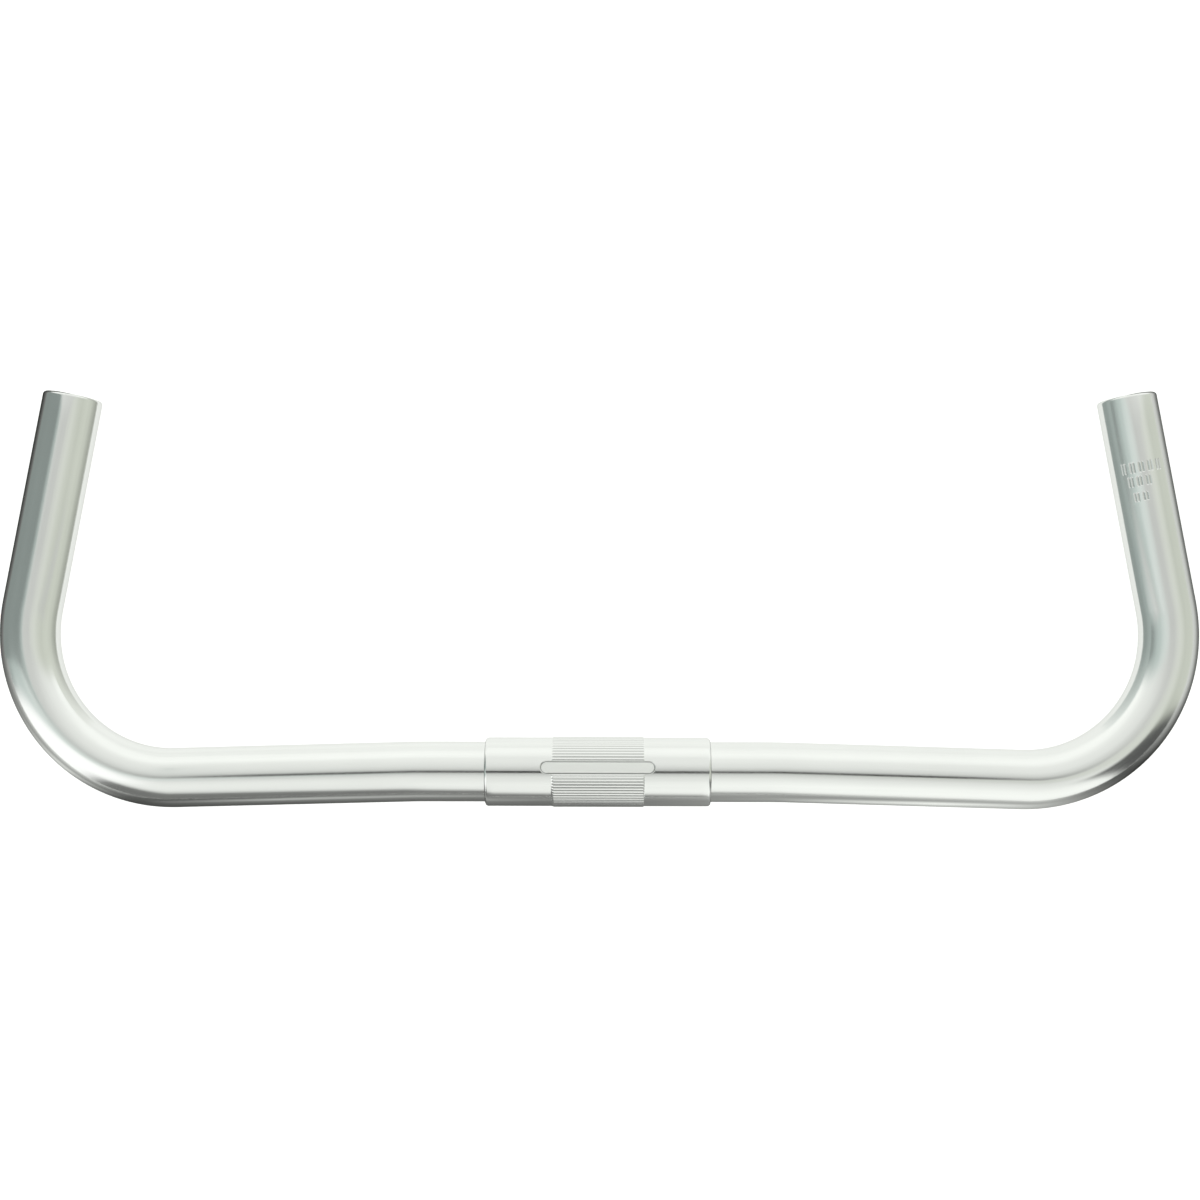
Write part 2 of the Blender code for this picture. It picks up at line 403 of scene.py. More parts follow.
# %% Sizes of the sleeve's details
PRESS_GAP = 0.00003
SHOULDER_LENGTH = 0.0011
SHOULDER_HEIGHT = 0.0013
SHOULDER_SHARE = 0.96
SHOULDER_STEPS = 9
# The last sliver of each shoulder is painted dark: painted shade in the crease against the tube.
CREASE_SHADE_FROM = 0.00040
CREASE_SHADE_FULL = 0.00015
KNURL_HALF = 0.0343 / 2
RIB_COUNT = 60
RIB_HEIGHT = 0.0003
RIB_DEPTH = 0.00020
RUN_OUT_LEFT = 0.0010
RUN_OUT_RIGHT = 0.0004
PAD_HALF_LENGTH = 0.0417 / 2
PAD_HALF_WIDTH = 0.0044 / 2
PAD_TURN = math.radians(9.5)
PAD_EASE = 0.00030
NEAR_PAD = 0.5
GROOVE_HALF_WIDTH = 0.00032
GROOVE_DEPTH = 0.00030
PAD_RIB_MARGIN = 0.0004
SEAT_RADIUS = TUBE_RADIUS + PRESS_GAP
pad_half_turn = (PAD_HALF_WIDTH + PAD_RIB_MARGIN) / CLAMP_RADIUS
rib_pitch = (math.tau - 2 * pad_half_turn) / RIB_COUNT
print(f"rib pitch {rib_pitch * CLAMP_RADIUS * 1000:.2f} mm on the clamp surface")


# %% The sleeve's radius as a formula
def smooth(x, low, high):
    """0 below low, 1 above high, and a soft step between."""
    t = np.clip((x - low) / (high - low), 0, 1)
    return t * t * (3 - 2 * t)


def shoulder_drop(along):
    """How far the rounded shoulder has fallen below the clamp surface."""
    into = np.clip((np.abs(along) - (SLEEVE_HALF - SHOULDER_LENGTH)) / SHOULDER_LENGTH, 0, 1)
    return SHOULDER_HEIGHT * (1 - np.sqrt(1 - (SHOULDER_SHARE * into) ** 2))


def rib_share(turn):
    """Where a turn lies on its rib, 0 and 1 at the roots, and whether it is on the ribs at all."""
    past_pad = np.mod(turn - PAD_TURN - pad_half_turn, math.tau)
    return np.mod(past_pad / rib_pitch, 1.0), past_pad < rib_pitch * RIB_COUNT


def knurled(along):
    """1 on the knurled band and 0 off it. The wheel ran in softly at the left and stopped at the right."""
    run_in = smooth(along, -KNURL_HALF, -KNURL_HALF + RUN_OUT_LEFT)
    return run_in * (1 - smooth(along, KNURL_HALF - RUN_OUT_RIGHT, KNURL_HALF))


def rib_crest(turn):
    """How high on its rib a turn lies: a round back, 1 on the crest, and a sharp root at 0."""
    share, on_ribs = rib_share(turn)
    return np.sin(math.pi * share), on_ribs


def rib_rise(along, turn):
    """Height of the ribs above the clamp surface, and none on the pad."""
    crest, on_ribs = rib_crest(turn)
    return np.where(on_ribs, RIB_HEIGHT - RIB_DEPTH * (1 - crest), 0.0) * knurled(along)


def rib_root(along, turn):
    """How far down between two ribs a place lies, 0 on a crest and 1 in the root."""
    crest, on_ribs = rib_crest(turn)
    return np.where(on_ribs, (1 - crest) ** 2, 0.0) * knurled(along)


def crease_shade(along):
    """1 on the last sliver of each shoulder, painted dark as the shade in the crease against the tube."""
    return smooth(np.abs(along), SLEEVE_HALF - CREASE_SHADE_FROM, SLEEVE_HALF - CREASE_SHADE_FULL)


def turn_from_pad(turn):
    """How far a turn is from the pad's middle, in radians, less than 0 behind it."""
    return np.mod(turn - PAD_TURN + math.pi, math.tau) - math.pi


def inside_pad(along, turn):
    """How far inside the pad's round-ended outline a place lies. Less than 0 outside it."""
    past = np.maximum(np.abs(along) - (PAD_HALF_LENGTH - PAD_HALF_WIDTH), 0)
    return PAD_HALF_WIDTH - np.hypot(past, turn_from_pad(turn) * CLAMP_RADIUS)


def in_groove(along, turn):
    """How far down in the groove along the pad's outline a place lies, 0 to 1."""
    return 1 - smooth(np.abs(inside_pad(along, turn)), 0.0, GROOVE_HALF_WIDTH)


def on_pad(along, turn):
    """1 on the pad, 0 off it, and a soft step at its outline."""
    return smooth(inside_pad(along, turn), 0.0, PAD_EASE)


def flat_drop(along, turn):
    """How far the pad, which is filed flat, lies below the round clamp surface."""
    near = np.clip(turn_from_pad(turn), -NEAR_PAD, NEAR_PAD)
    chord = math.cos(PAD_HALF_WIDTH / CLAMP_RADIUS) / np.cos(near)
    return CLAMP_RADIUS * (1 - chord) * on_pad(along, turn)


def sleeve_radius(along, turn):
    """Radius of the sleeve's outside at a distance along it and a turn forward from straight up."""
    cut = GROOVE_DEPTH * in_groove(along, turn) + flat_drop(along, turn)
    return CLAMP_RADIUS + rib_rise(along, turn) - cut - shoulder_drop(along)


first_root = PAD_TURN + pad_half_turn
crest_radius, root_radius = sleeve_radius(0.0, first_root + rib_pitch / 2), sleeve_radius(0.0, first_root)
print(f"rib crests at {1000 * crest_radius:.2f} mm from the axis, roots at {1000 * root_radius:.2f} mm")

# %% [markdown]
# A formula only shows where the mesh has points for it. Rings crowd at the shoulders, at the ends of
# the ribs and round the ends of the pad, and points on each ring crowd on the ribs and across the
# pad. Between those places the sleeve is plain and a few long faces are enough.

# %% Where the rings and the points on them stand
PAD_STEP = 0.00010
MIDDLE_STEP = 0.0020
OUTER_STEP = 0.0025
PAD_END_FROM = PAD_HALF_LENGTH - PAD_HALF_WIDTH * 2.2
PAD_END_TO = PAD_HALF_LENGTH + 0.0006


def spread(low, high, step):
    """Even places from low up to high, no further apart than step."""
    return list(np.linspace(low, high, max(2, math.ceil((high - low) / step) + 1))[:-1])


half_places = (
    spread(0.0, PAD_END_FROM, MIDDLE_STEP)
    + spread(PAD_END_FROM, PAD_END_TO, PAD_STEP)
    + spread(PAD_END_TO, SLEEVE_HALF - SHOULDER_LENGTH, OUTER_STEP)
)
shoulder_places = [
    SLEEVE_HALF - SHOULDER_LENGTH + SHOULDER_LENGTH * math.sin(math.pi / 2 * i / SHOULDER_STEPS)
    for i in range(SHOULDER_STEPS + 1)
]
half_places += shoulder_places
along_places = [-x for x in reversed(half_places[1:])] + half_places
pad_turns = spread(-pad_half_turn, pad_half_turn, PAD_STEP / CLAMP_RADIUS)
RIB_POINTS = (0.0, 0.06, 0.13, 0.21, 0.30, 0.40, 0.50, 0.60, 0.70, 0.79, 0.87, 0.94)
rib_turns = [pad_half_turn + rib_pitch * (i + share) for i in range(RIB_COUNT) for share in RIB_POINTS]
turns = PAD_TURN + np.array(pad_turns + rib_turns)
print(len(along_places), "rings of", len(turns), "points")


# %% Build the sleeve
def clamp_points(along, radii):
    """A ring of points round the clamp axis."""
    return np.stack([np.full(len(turns), along), radii * np.sin(turns), radii * np.cos(turns)], axis=-1)


# How dark the rib roots are painted: painted shade between the ribs, with polish residue.
ROOT_RESIDUE_AND_SHADE = 0.60
# How dark the crease at each end of the sleeve is painted, as shade.
END_CREASE_SHADE = 0.9
BORE_SET_BACK = 0.0001
SHARP_EDGE = math.radians(60)
sleeve_rings = [clamp_points(x, sleeve_radius(x, turns)) for x in along_places]
# Painted shade with polish residue, in rib roots, in the pad's groove and in the crease at each end.
sleeve_residue_and_shade = [
    np.maximum.reduce([
        ROOT_RESIDUE_AND_SHADE * rib_root(x, turns), in_groove(x, turns), np.full(len(turns), END_CREASE_SHADE * crease_shade(x))
    ])
    for x in along_places
]
sleeve_filed = [on_pad(x, turns) for x in along_places]
bore_places = [SLEEVE_HALF - BORE_SET_BACK, 0.0, -SLEEVE_HALF + BORE_SET_BACK]
bore_rings = [clamp_points(x, np.full(len(turns), SEAT_RADIUS)) for x in bore_places]
plain = [np.zeros(len(turns))] * len(bore_rings)
all_rings = sleeve_rings + bore_rings
sleeve_shares = {"recess": sleeve_residue_and_shade + plain, "filed": sleeve_filed + plain}
sleeve = skin("pressed_sleeve", all_rings, all_rings, sleeve_shares)
sleeve.data.set_sharp_from_angle(angle=SHARP_EDGE)
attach(sleeve, "root")
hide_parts("clamp_sleeve")
print(len(sleeve.data.polygons), "faces on the sleeve")

# %% [markdown]
# ## Shader sums
#
# A finish is a sum of small marks, and a sum reads best as a sum. This class wraps a socket, so that
# adding two of them adds a Math node. Everything that is not arithmetic comes from one method that
# takes the node's type, its settings and what goes into its sockets.

# %% A socket that can be added, and a sheet that makes nodes
class Wire:
    """A node's output that can be used in arithmetic."""

    def __init__(self, sheet, socket):
        self.sheet = sheet
        self.socket = socket

    def _math(self, operation, *values):
        inputs = dict(enumerate(values))
        return self.sheet.add("ShaderNodeMath", {"operation": operation}, inputs)

    def __add__(self, other):
        return self._math("ADD", self, other)

    def __sub__(self, other):
        return self._math("SUBTRACT", self, other)

    def __rsub__(self, other):
        return self._math("SUBTRACT", other, self)

    def __mul__(self, other):
        return self._math("MULTIPLY", self, other)

    def __truediv__(self, other):
        return self._math("DIVIDE", self, other)

    __radd__ = __add__
    __rmul__ = __mul__


class Sheet:
    """The nodes of one material or world."""

    def __init__(self, tree):
        self.tree = tree
        tree.nodes.clear()

    def add(self, kind, settings=None, inputs=None, output=0):
        """Add a node with its settings and inputs, and return one of its outputs as a Wire."""
        node = self.tree.nodes.new(kind)
        for name, value in (settings or {}).items():
            if name == "stops":
                self.set_stops(node.color_ramp, value)
            else:
                setattr(node, name, value)
        for name, value in (inputs or {}).items():
            if isinstance(value, Wire):
                self.tree.links.new(value.socket, node.inputs[name])
            else:
                node.inputs[name].default_value = value
        return Wire(self, node.outputs[output]) if node.outputs else None

    @staticmethod
    def set_stops(ramp, stops):
        """Give a colour ramp its stops, each a position and a colour."""
        while len(ramp.elements) < len(stops):
            ramp.elements.new(1.0)
        for element, (position, colour) in zip(ramp.elements, stops):
            element.position = position
            element.color = (*colour, 1.0)

    def noise(self, vector, scale, detail=2.0, roughness=0.5):
        """Smooth noise, as a value between 0 and 1."""
        inputs = {"Vector": vector, "Scale": scale, "Detail": detail, "Roughness": roughness}
        return self.add("ShaderNodeTexNoise", {}, inputs, "Fac")

    def stretched(self, vector, scale):
        """A vector scaled by a different amount each way."""
        return self.add("ShaderNodeVectorMath", {"operation": "MULTIPLY"}, {0: vector, 1: scale})

    def band(self, value, low, high):
        """0 below low, 1 above high, and a soft step between."""
        inputs = {"Value": value, "From Min": low, "From Max": high}
        return self.add("ShaderNodeMapRange", {"interpolation_type": "SMOOTHSTEP"}, inputs)

    def held(self, value, low, high):
        """A value kept between two limits."""
        return self.add("ShaderNodeClamp", {}, {"Value": value, "Min": low, "Max": high})

    def blend(self, factor, first, second):
        """One colour fading into another."""
        return self.add("ShaderNodeMix", {"data_type": "RGBA"}, {0: factor, 6: first, 7: second}, 2)


print("a sheet can make:", ", ".join(name for name in vars(Sheet) if not name.startswith("_")))

# %% [markdown]
# ## The aluminium
#
# The tube was drawn through a die, buffed along its length and given a clear anodised skin. Close up
# that leaves very fine lines that run along it, a slight cloudiness where the mop pressed harder, and
# a few short handling marks. Lines that run along a tube spread reflections round it, so they matter
# even when they are too fine to see. They are made by stretching noise in the straight-tube space.
# Grooves, rib roots, the crease at each end of the sleeve and punched strokes are painted darker:
# painted shade in the recesses, with a trace of grey polish residue. The pad was
# filed after buffing, so it is duller and whiter than the metal round it.

# %% A finish for buffed aluminium
BRIGHT = (0.94, 0.95, 0.94)
DULL_SHARE = 0.90
BUFFED_ROUGHNESS = 0.16
LINE_DEPTH = 0.000004
# The grey that recesses are painted towards: painted shade with polish residue.
RESIDUE_AND_SHADE_GREY = (0.22, 0.225, 0.22, 1.0)
COMPOUND_DULL = 0.12
FILED_DULL = 0.42
FILED_WHITE = (0.99, 1.0, 0.985, 1.0)


def buffed_aluminium(name, lines_across, scuff_share, residue_and_shade_share):
    """Metal with lengthwise lines, soft clouds of polish, a few scuffs, and recesses painted darker as
    shade with polish residue. The last argument is how far the recesses are painted towards that grey, 0 to
    1."""
    material = bpy.data.materials.new(name)
    material.use_nodes = True
    sheet = Sheet(material.node_tree)
    lay = sheet.add("ShaderNodeAttribute", {"attribute_name": "lay"}, {}, "Vector")
    lines = sheet.noise(sheet.stretched(lay, (6, lines_across, lines_across)), 1.0, 4.0, 0.6)
    bands = sheet.noise(sheet.stretched(lay, (3, 420, 420)), 1.0, 2.0)
    clouds = sheet.noise(lay, 38.0, 3.0, 0.55)
    grain = sheet.noise(lay, 2600.0, 2.0)
    scuff_noise = sheet.noise(sheet.stretched(lay, (160, 520, 520)), 1.0, 5.0, 0.7)
    scuffs = sheet.band(scuff_noise, 0.66 - scuff_share, 0.74) * sheet.band(clouds, 0.45, 0.65)
    dull = (bands - 0.5) * 0.16 + (clouds - 0.5) * 0.07 + (lines - 0.5) * 0.10 + scuffs * 0.10
    shade = 0.5 + (clouds - 0.5) * 0.5 + (bands - 0.5) * 1.1 - scuffs * 0.25
    darker = tuple(c * DULL_SHARE for c in BRIGHT)
    bright = sheet.blend(shade, (*darker, 1.0), (*BRIGHT, 1.0))
    recess = sheet.add("ShaderNodeAttribute", {"attribute_name": "recess"}, {}, "Fac")
    filed = sheet.add("ShaderNodeAttribute", {"attribute_name": "filed"}, {}, "Fac")
    # Recesses are painted towards grey as painted shade with polish residue; the filed pad is whiter.
    tint = sheet.blend(recess * residue_and_shade_share, sheet.blend(filed, bright, FILED_WHITE), RESIDUE_AND_SHADE_GREY)
    height = lines * 0.6 + bands * 0.25 + grain * 0.08 - scuffs * 0.3
    bump = sheet.add("ShaderNodeBump", {}, {"Height": height, "Distance": LINE_DEPTH, "Strength": 1.0})
    shader = sheet.add("ShaderNodeBsdfPrincipled", {}, {
        "Base Color": tint,
        "Metallic": 1.0,
        "Roughness": BUFFED_ROUGHNESS + dull + recess * COMPOUND_DULL + filed * FILED_DULL,
        "Normal": bump,
    })
    sheet.add("ShaderNodeOutputMaterial", {}, {"Surface": shader})
    return material


# The last figure is how far recesses are painted darker, as shade with polish residue.
tube.data.materials.append(buffed_aluminium("buffed_tube", 2600, 0.0, 0.3))
sleeve.data.materials.append(buffed_aluminium("buffed_sleeve", 2200, 0.02, 0.75))
print(len(tube.data.materials[0].node_tree.nodes), "nodes in the tube's finish")

# %% [markdown]
# ## The table and what the metal mirrors
#
# The bar lies on a white table that is lit from below, so its shadow is faint. A polished tube lying
# there mirrors everything round it, and whoever lights such a product dresses that on purpose: white paper
# inside the horns, dark cloth in front, strips that draw a thin line along an edge. Here the dressing
# is a set of sheets that only reflections can see, so the table itself stays plain white. A shell that
# only the camera can see stands round the table, so that a low view ends in plain paper too.

# %% The table
FLOOR_HALF = 12.0
TABLE_DROP = 0.0002
TABLE_COLOUR = (0.86, 0.87, 0.86)
TABLE_GLOW = 0.62
BACKDROP_SHARE = 0.95
floor_height = cad_box[0].z


def add_sheet(name, points, faces, material):
    """A flat or bent sheet of the stage."""
    mesh = bpy.data.meshes.new(name)
    mesh.from_pydata(points, [], faces)
    mesh.materials.append(material)
    sheet_object = bpy.data.objects.new(name, mesh)
    bpy.context.scene.collection.objects.link(sheet_object)
    return sheet_object


def glowing_white(name, colour, glow):
    """A matt white surface that is also lit from behind."""
    material = bpy.data.materials.new(name)
    material.use_nodes = True
    sheet = Sheet(material.node_tree)
    shader = sheet.add("ShaderNodeBsdfPrincipled", {}, {
        "Base Color": (*colour, 1.0),
        "Roughness": 0.9,
        "Specular IOR Level": 0.0,
        "Emission Color": (1.0, 1.0, 1.0, 1.0),
        "Emission Strength": glow,
    })
    sheet.add("ShaderNodeOutputMaterial", {}, {"Surface": shader})
    return material


def backdrop(radius):
    """A pale shell round the table, seen only by the camera, so that a low view ends in plain paper."""
    bm = bmesh.new()
    bmesh.ops.create_uvsphere(bm, u_segments=48, v_segments=24, radius=radius)
    mesh = bpy.data.meshes.new("backdrop")
    bm.to_mesh(mesh)
    bm.free()
    mesh.materials.append(glowing_white("backdrop_white", (0.0, 0.0, 0.0), 1.0))
    shell = bpy.data.objects.new("backdrop", mesh)
    bpy.context.scene.collection.objects.link(shell)
    for ray in ("glossy", "diffuse", "shadow", "transmission", "volume_scatter"):
        setattr(shell, "visible_" + ray, False)
    return shell


QUARTERS = ((-1, -1), (1, -1), (1, 1), (-1, 1))
table_corners = [(x * FLOOR_HALF, y * FLOOR_HALF, floor_height - TABLE_DROP) for x, y in QUARTERS]
table_white = glowing_white("table_white", TABLE_COLOUR, TABLE_GLOW)
table = add_sheet("white_table", table_corners, [(0, 1, 2, 3)], table_white)
table.visible_glossy = False
backdrop(FLOOR_HALF * BACKDROP_SHARE)
print(f"table {2 * FLOOR_HALF:.0f} m across, {-1000 * floor_height:.1f} mm below the clamp axis")

# %% [markdown]
# Brightness on these sheets is written as the grey level that it should show at, 0 black and 1 white,
# once the metal has mirrored it. A display bends its levels and the metal keeps back a little light,
# so one function turns a level into the light to give off.

# %% Sheets that only reflections see
METAL_SHINE = 0.93
PAPER_TINT = (0.98, 1.0, 0.96)
COOL_TINT = (0.87, 1.0, 0.95)
WARM_TINT = (0.955, 1.0, 0.88)


def light(level):
    """The light that shows as a grey level once the metal has mirrored it. Works on arrays."""
    return ((np.asarray(level) + 0.055) / 1.055) ** 2.4 / METAL_SHINE


def painted(name):
    """A surface that gives off the light painted on its points."""
    material = bpy.data.materials.new(name)
    material.use_nodes = True
    sheet = Sheet(material.node_tree)
    paint = sheet.add("ShaderNodeAttribute", {"attribute_name": "light"}, {}, "Color")
    shader = sheet.add("ShaderNodeBsdfPrincipled", {}, {
        "Base Color": (0.0, 0.0, 0.0, 1.0),
        "Roughness": 1.0,
        "Specular IOR Level": 0.0,
        "Emission Color": paint,
        "Emission Strength": 1.0,
    })
    sheet.add("ShaderNodeOutputMaterial", {}, {"Surface": shader})
    return material


sheet_paint = painted("sheet_paint")


def mirrored_sheet(name, points, levels, tint=PAPER_TINT):
    """A sheet over a grid of points, each with its own grey level, that only reflections can see."""
    points, levels = np.asarray(points, float), np.asarray(levels, float)
    rows, columns = levels.shape
    index = np.arange(rows * columns).reshape(rows, columns)
    corners = (index[:-1, :-1], index[1:, :-1], index[1:, 1:], index[:-1, 1:])
    faces = np.stack(corners, axis=-1).reshape(-1, 4).tolist()
    piece = add_sheet(name, points.reshape(-1, 3).tolist(), faces, sheet_paint)
    colours = np.ones((rows * columns, 4))
    colours[:, :3] = (light(levels)[..., None] * np.array(tint)).reshape(-1, 3)
    paint = piece.data.attributes.new("light", "FLOAT_COLOR", "POINT")
    paint.data.foreach_set("color", colours.astype(np.float32).ravel())
    for ray in ("camera", "diffuse", "shadow", "transmission", "volume_scatter"):
        setattr(piece, "visible_" + ray, False)
    return piece


print(f"a level of 0.5 is painted as {float(light(0.5)):.3f} of full light")

# %% [markdown]
# ## Paper, cloth and painted shade on the table
#
# The outer side of each tube mirrors the table beside it, a narrow strip squeezed into the last tenth
# of the tube's width. How bright that strip is decides whether the edge reads dark, as on the left,
# or carries a thin bright line, as on the right. So the table is painted by two things only: how far
# along the bar a place lies, and how far beside it. Nearest the tube both the outer and the inner
# sheet are painted darker: that is painted shade, the shadow the table would hold beside the bar.

# %% Levels beside the bar, on its outer side
# Most rows are darker nearest the tube: painted shade of the table beside the bar.
OUTER_DISTANCES = (0.010, 0.024, 0.040, 0.055, 0.080, 0.200, 2.000)
OUTER_LEVELS = {
    -0.320: (0.12, 0.20, 0.32, 0.41, 0.50, 0.53, 0.53),
    -0.255: (0.16, 0.26, 0.36, 0.44, 0.52, 0.56, 0.58),
    -0.230: (0.40, 0.42, 0.46, 0.50, 0.58, 0.68, 0.75),
    -0.201: (0.40, 0.78, 0.92, 0.70, 0.66, 0.82, 0.92),
    -0.177: (0.24, 0.28, 0.29, 0.30, 0.31, 0.32, 0.34),
    -0.150: (0.12, 0.34, 0.43, 0.54, 0.76, 0.45, 0.46),
    -0.070: (0.24, 0.38, 0.44, 0.50, 0.66, 0.50, 0.54),
    0.000: (0.42, 0.43, 0.43, 0.44, 0.47, 0.48, 0.52),
    0.070: (0.50, 0.55, 0.64, 0.62, 0.60, 0.64, 0.72),
    0.110: (0.54, 0.70, 0.96, 0.80, 0.57, 0.60, 0.72),
    0.150: (0.60, 0.78, 1.02, 0.92, 0.66, 0.64, 0.74),
    0.177: (0.55, 0.62, 0.64, 0.65, 0.66, 0.77, 0.88),
    0.201: (0.02, 0.18, 0.26, 0.28, 0.28, 0.28, 0.28),
    0.230: (0.05, 0.38, 0.56, 0.68, 0.76, 0.83, 0.84),
    0.255: (0.22, 0.38, 0.56, 0.70, 0.79, 0.81, 0.81),
}
INNER_DISTANCES = (0.008, 0.018, 0.026, 0.040)
# Nearest the tube the white paper is painted darker: painted shade of the table beside the bar.
SHADED_WHITE_PAPER = (0.87, 0.92, 0.945, 0.955)
INNER_LEVELS = {-1.0: SHADED_WHITE_PAPER, 1.0: SHADED_WHITE_PAPER}
SHEET_STEP = 3
RUN_ON = 0.20
INNER_LIFT = 0.0002


def beside(stations_along, distances_out, levels_along, side):
    """A grid of points beside the bar, and the level at each, at every distance on one side."""
    keys = sorted(levels_along)
    columns = np.array([levels_along[key] for key in keys])
    points, levels = [], []
    for place, direction, distance in stations_along:
        across = direction.cross(Z_AXIS).normalized() * side
        ring = [place + across * d for d in distances_out]
        points.append([(p.x, p.y, floor_height) for p in ring])
        levels.append([np.interp(distance, keys, columns[:, i]) for i in range(len(distances_out))])
    return points, levels


sheet_stations = [(p, d, s) for (p, d, _), s in list(zip(stations, distances))[::SHEET_STEP]]
first_place, first_direction, first_distance = sheet_stations[0]
last_place, last_direction, last_distance = stations[-1][0], stations[-1][1], distances[-1]
sheet_stations.insert(0, (first_place - first_direction * RUN_ON, first_direction, first_distance - RUN_ON))
sheet_stations.append((last_place + last_direction * RUN_ON, last_direction, last_distance + RUN_ON))
outer_sheet = mirrored_sheet("outer_cloth_and_shade", *beside(sheet_stations, OUTER_DISTANCES, OUTER_LEVELS, 1))
inner_sheet = mirrored_sheet("inner_paper_and_shade", *beside(sheet_stations, INNER_DISTANCES, INNER_LEVELS, -1))
inner_sheet.location.z = INNER_LIFT
print("outer sheet", len(outer_sheet.data.polygons), "faces, inner", len(inner_sheet.data.polygons))

# %% White paper for the rest of the table
PAPER_LEVEL = 0.955
FAR_PAPER = 6.0
FAR_DROP = 0.0001


def flat_grid(across, ahead, height):
    """Points of a level grid."""
    return [[(x, y, height) for x in across] for y in ahead]


ends = (-FAR_PAPER, FAR_PAPER)
far_height = floor_height - FAR_DROP
mirrored_sheet("far_paper", flat_grid(ends, ends, far_height), np.full((2, 2), PAPER_LEVEL))
print(f"far paper {2 * FAR_PAPER:.0f} m across")

# %% [markdown]
# ## Cards
#
# A thin dark line runs just inside the white inner edge of each horn. A low fence of card standing
# along the horn draws it. The tops would mirror a dark patch lying on the table, but of an upright
# card they see only the back, and that is white.
#
# Two long soft lights hang over the bar, one ahead of it and one behind. From the tops the gap
# between them is the thin dark line down their middle. The gap is a narrow dark strip hung low over
# the tops, and a pale skirt along its edge hides it from the horns. One more card stands close
# outside the left horn and greys that side.

# %% Fences inside the horns
FENCE_FROM = 0.205
FENCE_FULL = 0.242
BACKING = 0.0008
LEFT_FENCE_OUT = 0.028
RIGHT_FENCE_OUT = 0.030
FENCE_HEIGHTS = (0.0, 0.003, 0.006, 0.010, 0.015, 0.020)
LEFT_FENCE = (0.62, 0.62, 0.655, 0.70, 0.79, 0.795)
RIGHT_FENCE = (0.58, 0.59, 0.59, 0.60, 0.65, 0.66)


def fence(name, side, out, fence_levels, tint):
    """An upright card along the inside of one horn. side is 1 for the right horn, -1 for the left."""
    posts = [(p, d, s * side) for p, d, s in sheet_stations if s * side >= FENCE_FROM]
    feet = [place - direction.cross(Z_AXIS).normalized() * out for place, direction, _ in posts]
    points = [[(foot.x, foot.y, floor_height + rise) for rise in FENCE_HEIGHTS] for foot in feet]
    strength = np.interp([reach for _, _, reach in posts], (FENCE_FROM, FENCE_FULL), (0, 1))
    levels = PAPER_LEVEL + np.outer(strength, np.array(fence_levels) - PAPER_LEVEL)
    tints = np.array(PAPER_TINT) + np.outer(strength, np.array(tint) - PAPER_TINT)
    return mirrored_sheet(name, points, levels, tints[:, None, :])


white_back = (PAPER_LEVEL,) * len(FENCE_HEIGHTS)
fence("left_fence", -1, LEFT_FENCE_OUT, LEFT_FENCE, WARM_TINT)
fence("left_fence_back", -1, LEFT_FENCE_OUT + BACKING, white_back, PAPER_TINT)
fence("right_fence", 1, RIGHT_FENCE_OUT, RIGHT_FENCE, COOL_TINT)
fence("right_fence_back", 1, RIGHT_FENCE_OUT + BACKING, white_back, PAPER_TINT)
print(f"fences {1000 * FENCE_HEIGHTS[-1]:.0f} mm high, from {FENCE_FROM} m along the tube")

# %% The gap overhead and the card at the left
GAP_HEIGHT = 0.25
GAP_ROWS = (-0.011, 0.022)
GAP_COLUMNS = (-0.275, -0.205, 0.205, 0.275)
GAP_LEVELS = (0.78, 0.04, 0.04, 0.78)
SKIRT_FOOT = 0.12
SKIRT_LEVEL = 0.775
CARD_OUT = -0.29
CARD_RUN = (0.035, 0.21)
CARD_RISES = {floor_height: 0.555, 0.15: 0.555, 0.215: 0.68, 0.29: 0.71}
mirrored_sheet("gap_overhead", flat_grid(GAP_COLUMNS, GAP_ROWS, GAP_HEIGHT), (GAP_LEVELS, GAP_LEVELS))
skirt_points = [[(x, GAP_ROWS[1], z) for x in GAP_COLUMNS] for z in (SKIRT_FOOT, GAP_HEIGHT)]
mirrored_sheet("gap_skirt", skirt_points, np.full((2, len(GAP_COLUMNS)), SKIRT_LEVEL))
card_points = [[(CARD_OUT, y, z) for y in CARD_RUN] for z in CARD_RISES]
mirrored_sheet("left_card", card_points, [[level, level] for level in CARD_RISES.values()], COOL_TINT)
print(f"gap hung {GAP_HEIGHT} m up, card {-CARD_OUT} m to the left")

# %% [markdown]
# ## The studio
#
# What is left is far away, so it can be painted on the world by direction. The tops look only ahead,
# up and behind, along one angle, and the horns look left, up and right, along another. Two ramps, one
# over each angle, hold the lights, and the world fades from one to the other as a direction turns
# sideways. The bends look everywhere between, and meet one bright light low at the front left and one
# dark corner at the front right.

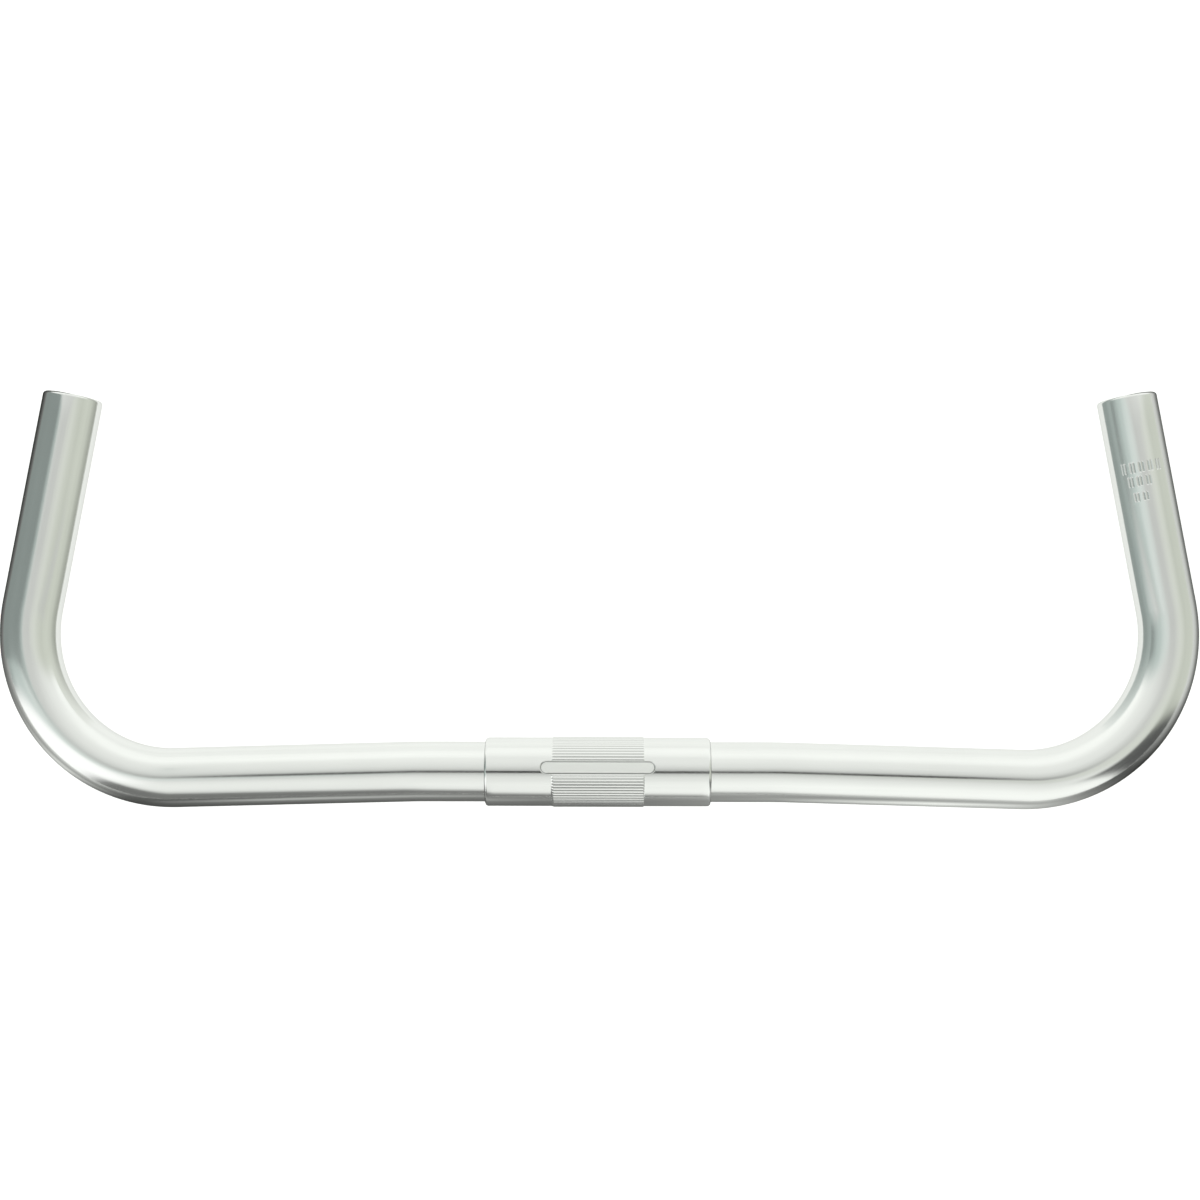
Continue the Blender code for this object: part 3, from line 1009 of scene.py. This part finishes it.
# %% The world by direction
world = bpy.data.worlds.new("studio")
world.use_nodes = True
bpy.context.scene.world = world
sky = Sheet(world.node_tree)
look = sky.add("ShaderNodeTexCoord", {}, {}, "Generated")
parts = sky.add("ShaderNodeSeparateXYZ", {}, {"Vector": look}, "X")
toward = {axis: Wire(sky, parts.socket.node.outputs[axis]) for axis in "XYZ"}
AHEAD_LEVELS = {
    -90: 0.46, -84: 0.47, -73: 0.92, -62: 0.945, -45: 0.94, -35: 0.925, -25: 0.90, -16: 0.86, -8: 0.80,
    2: 0.76, 11: 0.80, 21: 0.86, 30: 0.885, 40: 0.90, 50: 0.915, 60: 0.95, 71: 0.975, 90: 0.965,
}
SIDE_LEVELS = {
    -90: 0.64, -74: 0.70, -63: 0.73, -53: 0.75, -44: 0.78, -35: 0.83, -25: 0.855, -16: 0.835, -7: 0.80,
    0: 0.78, 7: 0.79, 16: 0.825, 25: 0.85, 35: 0.835, 44: 0.80, 53: 0.775, 63: 0.795, 90: 0.81,
}
FRONT_BAND = (0.2, 0.7)
TILT_LIMITS = (-0.5, 0.3)
TOPS_GAIN = 1.04
GAIN_LIMITS = (-0.2, 0.2)
RIGHT_GAIN = 0.45
ASIDE_BAND = (0.12, 0.25)
ASIDE_SHARE_BAND = (0.80, 0.95)
TINT_TURN = 50


def ramp_over(angle, levels, tint_at):
    """A ramp of grey levels over an angle, given in degrees from straight up."""
    stops = [
        (turn / 180 + 0.5, tuple(float(light(level)) * np.array(tint_at(turn))))
        for turn, level in levels.items()
    ]
    return sky.add("ShaderNodeValToRGB", {"stops": stops}, {"Fac": angle / math.pi + 0.5}, "Color")


def angle_from_up(axis):
    """How far a direction leans from straight up towards an axis, in radians."""
    return sky.add("ShaderNodeMath", {"operation": "ARCTAN2"}, {0: toward[axis], 1: toward["Z"]})


def side_tint(turn):
    """Cool on the left, warm on the right, and plain overhead."""
    tints = zip(COOL_TINT, PAPER_TINT, WARM_TINT)
    return [float(np.interp(turn, (-TINT_TURN, 0, TINT_TURN), channel)) for channel in tints]


sideways = sky.add("ShaderNodeMath", {"operation": "ABSOLUTE"}, {0: toward["X"]})
level_length = sky.add("ShaderNodeMath", {"operation": "SQRT"}, {
    0: toward["X"] * toward["X"] + toward["Y"] * toward["Y"]
})
in_front = sky.band(0.0 - toward["Y"], *FRONT_BAND)
tilt = sky.held(toward["X"], *TILT_LIMITS) * in_front
gain = TOPS_GAIN + sky.held(toward["X"], *GAIN_LIMITS) * in_front * RIGHT_GAIN
tops_see = sky.stretched(ramp_over(angle_from_up("Y") + tilt, AHEAD_LEVELS, lambda _: PAPER_TINT), gain)
horns_see = ramp_over(angle_from_up("X"), SIDE_LEVELS, side_tint)
turned_aside = sky.band(sideways, *ASIDE_BAND) * sky.band(sideways / level_length, *ASIDE_SHARE_BAND)
studio = sky.blend(turned_aside, tops_see, horns_see)
print(len(AHEAD_LEVELS), "stops from behind to ahead,", len(SIDE_LEVELS), "from side to side")

# %% The bright light at the front left and the dark corner at the front right
FRONT_LEFT_LIGHT = (1.15, 1.16, 1.14, 1.0)
FRONT_RIGHT_DARK = (0.09, 0.092, 0.09, 1.0)
LIGHT_TURN = math.radians(31)
DARK_TURN = math.radians(32)
LIGHT_EDGE = (0.935, 0.98)
LIGHT_ASIDE = (0.32, 0.48)
DARK_EDGE = (0.962, 0.99)
DARK_LEVEL = (0.62, 0.74)


def facing(side, turn):
    """1 for a level direction into the front corner on one side, less for the directions round it."""
    across, ahead = side * math.cos(turn), -math.sin(turn)
    return (toward["X"] * across + toward["Y"] * ahead) / level_length


lit = sky.band(facing(-1, LIGHT_TURN), *LIGHT_EDGE) * sky.band(sideways, *LIGHT_ASIDE)
unlit = sky.band(facing(1, DARK_TURN), *DARK_EDGE) * sky.band(level_length, *DARK_LEVEL)
studio = sky.blend(unlit, sky.blend(lit, studio, FRONT_LEFT_LIGHT), FRONT_RIGHT_DARK)
background = sky.add("ShaderNodeBackground", {}, {"Color": studio, "Strength": 1.0})
sky.add("ShaderNodeOutputWorld", {}, {"Surface": background})
print(len(world.node_tree.nodes), "nodes in the world")

# %% [markdown]
# ## The camera
#
# The camera hangs over the bar and looks almost straight down, a little ahead of the clamp seat so
# that the bar sits low in the frame. It is close, so the horns are seen slightly from inside.

# %% Place the camera
CAMERA_HEIGHT = 0.6881
CAMERA_SHIFT = Vector((-0.00079, -0.06387, -CAMERA_HEIGHT))
CAMERA_PITCH = math.radians(-2.654)
CAMERA_YAW = math.radians(-0.359)
CAMERA_ROLL = math.radians(-0.099)
SENSOR = 36.0
FOCAL_IN_FRAMES = 1850 / 1200
turning = (
    Matrix.Rotation(CAMERA_ROLL, 3, "Z")
    @ Matrix.Rotation(CAMERA_YAW, 3, "Y")
    @ Matrix.Rotation(CAMERA_PITCH, 3, "X")
).transposed()
camera_data = bpy.data.cameras.new("studio_camera")
camera_data.sensor_width = SENSOR
camera_data.lens = SENSOR * FOCAL_IN_FRAMES
camera_data.clip_start = 0.01
camera_data.clip_end = 100.0
camera = bpy.data.objects.new("studio_camera", camera_data)
camera.matrix_world = Matrix.Translation(turning @ -CAMERA_SHIFT) @ turning.to_4x4()
bpy.context.scene.collection.objects.link(camera)
bpy.context.scene.camera = camera
bpy.context.scene.view_settings.view_transform = "Standard"
print("camera at", tuple(round(v, 3) for v in camera.matrix_world.translation))

# %% [markdown]
